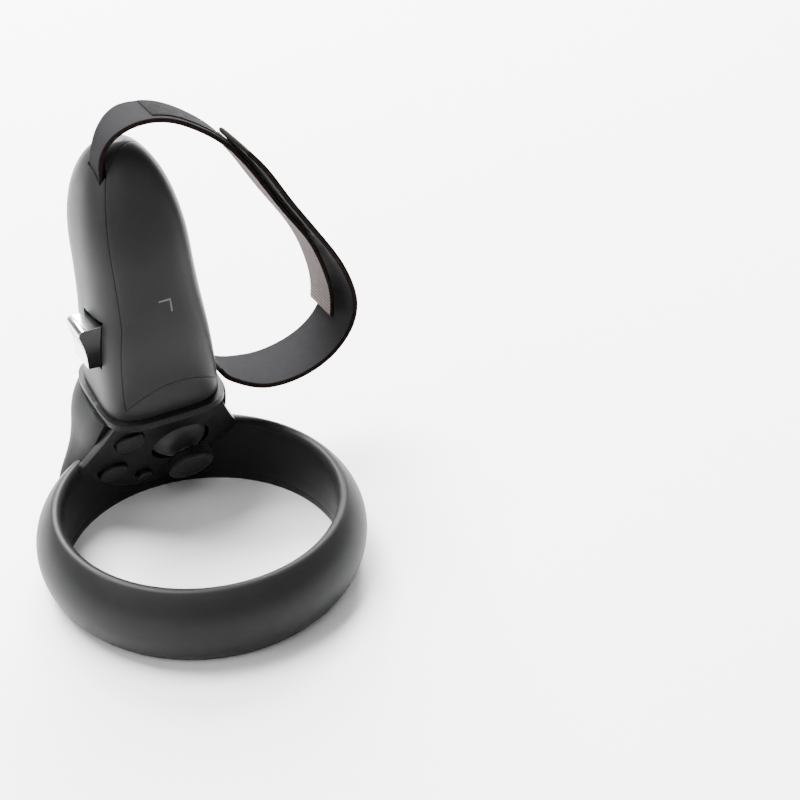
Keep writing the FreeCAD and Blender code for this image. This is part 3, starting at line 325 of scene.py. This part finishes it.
def arc(centre, radius, start, stop, count):
    """Points of an arc in a profile, from one angle to another in degrees."""
    points = []
    for index in range(count + 1):
        angle = math.radians(start + (stop - start) * index / count)
        points.append((centre[0] + radius * math.cos(angle), centre[1] + radius * math.sin(angle)))
    return points


def at_plate(across, along, out=0.0):
    """A place on the face plate, turned with it, in millimetres."""
    return PLATE @ Matrix.Translation((across * MM, along * MM, out * MM))


# ---------------------------------------------------------------- strap curves


class Route:
    """A smooth curve through points in X and Z, measured by its own length."""

    def __init__(self, points, samples=600):
        known = np.array(points, float)
        chord = np.r_[0, np.cumsum(np.linalg.norm(np.diff(known, axis=0), axis=1))]
        bend = self.second_derivatives(chord, known)
        where = np.linspace(0, chord[-1], samples)
        cell = np.clip(np.searchsorted(chord, where, side="right") - 1, 0, len(chord) - 2)
        wide = (chord[cell + 1] - chord[cell])[:, None]
        after = ((where - chord[cell]) / wide[:, 0])[:, None]
        before = 1 - after
        # Between two known points the curve is the cubic that their second derivatives give.
        self.points = (before * known[cell] + after * known[cell + 1]
                       + ((before ** 3 - before) * bend[cell]
                          + (after ** 3 - after) * bend[cell + 1]) * wide ** 2 / 6)
        steps = np.linalg.norm(np.diff(self.points, axis=0), axis=1)
        self.along = np.r_[0, np.cumsum(steps)]
        self.length = self.along[-1]

    @staticmethod
    def second_derivatives(chord, known):
        """Second derivatives at the points of a natural cubic through them."""
        count = len(chord)
        gaps = np.diff(chord)
        rows = np.eye(count)
        wanted = np.zeros((count, 2))
        for index in range(1, count - 1):
            rows[index, index - 1] = gaps[index - 1] / 6
            rows[index, index] = (gaps[index - 1] + gaps[index]) / 3
            rows[index, index + 1] = gaps[index] / 6
            wanted[index] = ((known[index + 1] - known[index]) / gaps[index]
                             - (known[index] - known[index - 1]) / gaps[index - 1])
        return np.linalg.solve(rows, wanted)

    def at(self, distance):
        """The point, and the direction to its left, at a distance along the curve."""
        distance = min(max(distance, 0.0), self.length)
        point = np.array([np.interp(distance, self.along, self.points[:, axis]) for axis in (0, 1)])
        near, far = max(distance - 0.4, 0.0), min(distance + 0.4, self.length)
        ahead = np.array([np.interp(far, self.along, self.points[:, axis])
                          - np.interp(near, self.along, self.points[:, axis]) for axis in (0, 1)])
        ahead /= np.linalg.norm(ahead)
        return point, np.array([-ahead[1], ahead[0]])

    def nearest(self, point):
        """The distance along the curve of the place nearest to a point."""
        return self.along[np.argmin(np.linalg.norm(self.points - np.array(point), axis=1))]


OUTER_FACE, INNER_FACE, EDGE_FACE = 0, 1, 2
EDGE_STEPS = 6


def band_section(across):
    """Points round a band: the share of its width, and the side from 1 (outer) to -1 (inner)."""
    turn = [math.cos(math.pi * index / EDGE_STEPS) for index in range(1, EDGE_STEPS)]
    section = [(index / across, 1.0) for index in range(across + 1)]
    section += [(1.0, side) for side in turn]
    section += [(1 - index / across, -1.0) for index in range(across + 1)]
    section += [(0.0, -side) for side in turn]
    return section


def face_kind(side, next_side):
    """Which of a band's materials the face between two points of its section takes."""
    if side == next_side == 1.0:
        return OUTER_FACE
    if side == next_side == -1.0:
        return INNER_FACE
    return EDGE_FACE


def band(name, route, thick, edges, start, stop, body, materials, lift=0.0, crown=0.12,
         slack=0.0, steps=220, across=22):
    """A strap: a flat tube with rounded edges along a route. Edges gives the low and high Y
    at a distance. Materials are for the outer face, the inner face and the raw edges. The
    crown arches the outer face, and the slack makes the cloth wave a little."""
    vertices, faces, kinds, places = [], [], [], []
    half_thick = thick * 0.5
    edge_round = half_thick * 0.6
    section = band_section(across)
    size = len(section)
    for step in range(steps + 1):
        distance = start + (stop - start) * step / steps
        point, left = route.at(distance)
        low, high = edges(distance)
        # The band thins towards its two ends.
        close = min(step, steps - step) / steps * (stop - start)
        flat = min(1.0, 0.45 + close / (thick * 0.8))
        for share, side in section:
            bulge = crown * (1 - (2 * share - 1) ** 2) if side > 0 else 0.0
            wave = slack * math.sin(distance * 0.21 + share * 2.0) * math.sin(distance * 0.083)
            y = low + edge_round + (high - low - 2 * edge_round) * share
            if share in (0.0, 1.0):
                outward = edge_round * math.sqrt(1 - side * side)
                y += outward if share else -outward
            height = lift + half_thick + side * half_thick * flat + bulge + wave
            x, z = point + left * height
            vertices.append((x * MM, y * MM, (z - LAYOUT_DROP) * MM))
            places.append((distance, y))
    for step in range(steps):
        for index in range(size):
            after = (index + 1) % size
            a, b = step * size + index, step * size + after
            faces.append((a, b, b + size, a + size))
            kinds.append(face_kind(section[index][1], section[after][1]))
    last = steps * size
    faces.append(tuple(reversed(range(size))))
    faces.append(tuple(last + index for index in range(size)))
    kinds += [EDGE_FACE, EDGE_FACE]
    piece = finished(name, vertices, faces, materials, body)
    mesh = piece.data
    mesh.polygons.foreach_set("material_index", kinds)
    layer = mesh.uv_layers.new(name="cloth")
    for loop in mesh.loops:
        layer.data[loop.index].uv = places[loop.vertex_index]
    tidy_normals(mesh)
    return piece


def tidy_normals(mesh):
    """Turns every face of a closed mesh outwards."""
    made = bmesh.new()
    made.from_mesh(mesh)
    bmesh.ops.recalc_face_normals(made, faces=made.faces)
    made.to_mesh(mesh)
    made.free()
    mesh.update()


def eased(value, low, high):
    """0 below low, 1 above high and smooth between."""
    share = min(max((value - low) / (high - low), 0.0), 1.0)
    return share * share * (3 - 2 * share)


# ---------------------------------------------------------------- strap

under = Route(UNDER_ROUTE)
overlap_lift = UNDER_THICK + PATCH_THICK + 0.05
joined = []
for spot in (OVER_START,) + UNDER_ROUTE[9:12]:
    point, left = under.at(under.nearest(spot))
    joined.append(tuple(point + left * overlap_lift))
over = Route(tuple(joined) + OVER_ROUTE)
SLOT_TOP = 41.5
dome_exit = under.nearest((-6.5, 129.5))
full_width = under.nearest((5.0, 137.0))


def under_edges(distance):
    """The narrow layer starts at the slot's width and opens out over the dome."""
    share = eased(distance, dome_exit - 2.0, full_width)
    return UNDER_Y[0] + 0.3 * (1 - share), SLOT_TOP + (UNDER_Y[1] - SLOT_TOP) * share


NECK_DRAW_IN, END_DRAW_IN = 2.6, 0.5


def over_edges(distance):
    """The broad layer draws in where it meets the neck, and a little at its free end."""
    neck = NECK_DRAW_IN * eased(distance, over.length - 19.0, over.length - 4.0)
    free_end = END_DRAW_IN * (1 - eased(distance, 0.0, 1.6))
    return OVER_Y[0] + neck + free_end, OVER_Y[1] - neck - free_end


upper = band("strap_inner_layer", under, UNDER_THICK - 0.15, under_edges, 0.3, under.length - 0.4,
             "controller", [LOOKS["strap_webbing"], STRAP_LINING, RAW_EDGE],
             lift=0.05, crown=0.0, slack=0.05)
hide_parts("strap_upper")
lower = band("strap_outer_layer", over, OVER_THICK - 0.2, over_edges, 0.1, over.length - 0.3,
             "controller",
             [LOOKS["strap_webbing"], LOOKS["strap_webbing"], RAW_EDGE], lift=0.02, crown=0.1,
             slack=0.08, steps=260)
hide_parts("strap_lower")
patch_start, patch_stop = under.nearest((32.4, 122.1)), under.nearest((54.2, 88.8))
patch = band("strap_hook_patch", under, PATCH_THICK - 0.1,
             lambda distance: (UNDER_Y[0] + 0.6, UNDER_Y[1] - 0.6), patch_start, patch_stop,
             "controller", [LOOKS["hook_tape"]] * 3, lift=UNDER_THICK + 0.02,
             crown=0.0, steps=90, across=12)
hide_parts("hook_patch")
band("strap_loop_patch", under, 0.35, lambda distance: (UNDER_Y[0] + 2.2, UNDER_Y[1] - 0.8),
     under.nearest((9.0, 137.0)), patch_start - 0.6, "controller",
     [LOOKS["hook_tape"]] * 3, lift=UNDER_THICK - 0.1, crown=0.0, steps=60, across=12)

# ---------------------------------------------------------------- buttons and thumbstick


def button_piece(label, across, along, radius):
    """A button cap with a rounded rim and a shallow dish, over its flange."""
    top, flange_top, flange_low = 1.3, -2.9, -3.9
    dish = 0.22
    profile = [(0, flange_low), (radius + 0.8, flange_low), (radius + 0.9, flange_low + 0.1),
               (radius + 0.9, flange_top - 0.1), (radius + 0.8, flange_top),
               (radius + 0.05, flange_top), (radius, flange_top + 0.05), (radius, top - 0.55)]
    profile += arc((radius - 0.55, top - 0.55), 0.55, 0, 90, 8)[1:]
    inner = radius - 0.9
    for index in range(12):
        share = 1 - index / 11
        profile.append((inner * share, top - dish * (1 - share ** 2)))
    vertices, faces = lathe(profile, 96, at_plate(across, along))
    piece = finished(label + "_moulding", vertices, faces, [LOOKS["button_plastic"]], label)
    tidy_normals(piece.data)
    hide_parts(label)


for label, spot in BUTTONS.items():
    button_piece(label, *spot, 4.75)
button_piece("menu_button", *MENU_AT, 2.6)


def stick_cap_piece():
    """The thumbstick's rubber cap: a knurled rim round a dished top with a raised ring."""
    low, high, radius = 12.6, 16.4, 7.6
    profile = [(0, low), (radius - 2.2, low), (radius - 0.9, low + 0.25)]
    profile += arc((radius - 0.9, low + 1.15), 0.9, -90, 0, 6)
    knurl_from = len(profile)
    profile += [(radius, low + 1.15 + index * (high - low - 2.1) / 6) for index in range(1, 7)]
    knurl_to = len(profile)
    profile += arc((radius - 0.95, high - 0.95), 0.95, 0, 90, 8)[1:]
    for index in range(1, 15):
        share = 1 - index / 14
        place = (radius - 1.3) * share
        groove = 0.12 * math.exp(-((place - 4.3) / 0.35) ** 2)
        profile.append((place, high - 0.75 * (1 - share ** 2.2) - groove))

    def knurl(step, angle):
        if not knurl_from <= step <= knurl_to:
            return 0.0
        return -0.14 * (0.5 + 0.5 * math.cos(angle * 54))

    vertices, faces = lathe(profile, 324, at_plate(*STICK_AT, STICK_PIVOT), knurl)
    piece = finished("thumbstick_rubber", vertices, faces, [LOOKS["stick_rubber"]], "thumbstick")
    tidy_normals(piece.data)
    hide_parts("thumbstick_cap")


stick_cap_piece()

# ---------------------------------------------------------------- side mark


PRINT_LIFT = 0.03
PALM_SIDE = -50.0


def side_mark():
    """A small printed angle on the cover that tells the left controller from the right. Rays
    from the palm side find the cover's surface, and the print reaches a little to each side."""
    cover = NODES["battery_cover"]
    bars = (((2.95, 79.1), (3.45, 83.0)), ((-0.4, 82.5), (2.95, 83.0)))
    vertices, faces = [], []
    rows, columns = 14, 6
    bpy.context.view_layer.update()
    for (x_low, z_low), (x_high, z_high) in bars:
        grid = []
        for row in range(rows + 1):
            line = []
            for column in range(columns + 1):
                x = (x_low + (x_high - x_low) * column / columns) * MM
                z = (z_low + (z_high - z_low) * row / rows) * MM
                start = Vector((x, PALM_SIDE * MM, z))
                spot, normal = cover.ray_cast(start, Vector((0, 1, 0)))[1:3]
                line.append(len(vertices))
                vertices.append(spot + normal * PRINT_LIFT * MM)
                vertices.append(spot - normal * PRINT_LIFT * MM)
            grid.append(line)
        for row in range(rows):
            for column in range(columns):
                a, b = grid[row][column], grid[row][column + 1]
                c, d = grid[row + 1][column + 1], grid[row + 1][column]
                faces.append((a, b, c, d))
                faces.append((d + 1, c + 1, b + 1, a + 1))
        border = ([(0, c) for c in range(columns)] + [(r, columns) for r in range(rows)]
                  + [(rows, columns - c) for c in range(columns)]
                  + [(rows - r, 0) for r in range(rows)])
        ring = [grid[r][c] for r, c in border]
        for near, far in zip(ring, ring[1:] + ring[:1]):
            faces.append((far, near, near + 1, far + 1))
    piece = finished("side_mark", vertices, faces, [PRINT], "battery_cover")
    tidy_normals(piece.data)


side_mark()

# ---------------------------------------------------------------- CAD nodes kept

EDGE_ROUNDING = {"grip_housing": 0.25, "battery_cover": 0.25, "strap_collar": 0.5,
                 "head_housing": 0.3, "face_plate": 0.3, "ring_outer_cover": 0.2,
                 "ring_inner_frame": 0.1, "index_trigger": 0.9, "grip_trigger": 1.1}
for label, width in EDGE_ROUNDING.items():
    soften(label, width)

# ---------------------------------------------------------------- stage, light and camera


def studio():
    """A pale paper floor that curves up into a wall behind the controller."""
    vertices, faces = [], []
    reach, rise, bend, steps = 3.0, 2.4, 0.7, 16
    spread = 3 * reach
    profile = [(-spread, 0.0), (reach - bend, 0.0)]
    for index in range(1, steps + 1):
        angle = math.pi / 2 * index / steps
        profile.append((reach - bend + bend * math.sin(angle), bend * (1 - math.cos(angle))))
    profile.append((reach, rise))
    facing = Matrix.Rotation(math.radians(-30), 4, "Z")
    for y, z in profile:
        for x in (-spread, spread):
            vertices.append(facing @ Vector((x, y, z)))
    for index in range(len(profile) - 1):
        a = 2 * index
        faces.append((a, a + 1, a + 3, a + 2))
    mesh = bpy.data.meshes.new("studio_sweep")
    mesh.from_pydata([tuple(v) for v in vertices], [], faces)
    mesh.polygons.foreach_set("use_smooth", [True] * len(faces))
    sweep = bpy.data.objects.new("studio_sweep", mesh)
    bpy.context.scene.collection.objects.link(sweep)
    material, tree, shader, add = shader_kit("studio_paper")
    place = add("ShaderNodeTexCoord").outputs["Object"]
    cloud = add("ShaderNodeTexNoise", [("Vector", place)], Scale=3.0, Detail=2.0)
    tone = ramp(add, cloud.outputs["Fac"], 0.3, 0.7, (0.86, 0.86, 0.865), (0.88, 0.88, 0.885))
    tree.links.new(tone.outputs["Color"], shader.inputs["Base Color"])
    shader.inputs["Roughness"].default_value = 0.9
    shader.inputs["Specular IOR Level"].default_value = 0.1
    mesh.materials.append(material)


def lamp(name, place, aim, size, power):
    """A soft rectangular studio light pointed at a spot."""
    light = bpy.data.lights.new(name, "AREA")
    light.shape = "RECTANGLE"
    light.size, light.size_y = size
    light.energy = power
    holder = bpy.data.objects.new(name, light)
    holder.location = place
    holder.rotation_euler = (Vector(aim) - Vector(place)).to_track_quat("-Z", "Y").to_euler()
    bpy.context.scene.collection.objects.link(holder)


studio()
middle = (0.0, 0.02, 0.05)
lamp("top_softbox", (-0.25, 0.40, 1.2), middle, (0.7, 0.7), 66)
lamp("left_softbox", (-1.0, -0.1, 0.75), middle, (0.5, 0.9), 7)
lamp("right_strip", (0.9, 0.35, 0.55), middle, (0.3, 0.8), 2.5)
lamp("front_fill", (-0.25, -0.7, 1.1), middle, (0.6, 0.6), 5)
lamp("back_softbox", (0.6, 1.7, 1.5), (0.55, 1.5, 0.0), (1.6, 1.2), 420)
world = bpy.data.worlds.new("studio_world")
bpy.context.scene.world = world
world.use_nodes = True
background = world.node_tree.nodes["Background"]
background.inputs["Color"].default_value = (1, 1, 1, 1)
background.inputs["Strength"].default_value = 0.22

view = bpy.data.cameras.new("main_view")
view.sensor_width = 36.0
view.lens = 72.0
camera = bpy.data.objects.new("main_view", view)
LOOKING_DOWN = math.radians(33.8964)
TURNED = math.radians(-30)
camera.location = (-0.13963, -0.36179, 0.31696)
camera.rotation_euler = (math.pi / 2 - LOOKING_DOWN, 0, TURNED)
bpy.context.scene.collection.objects.link(camera)
bpy.context.scene.camera = camera
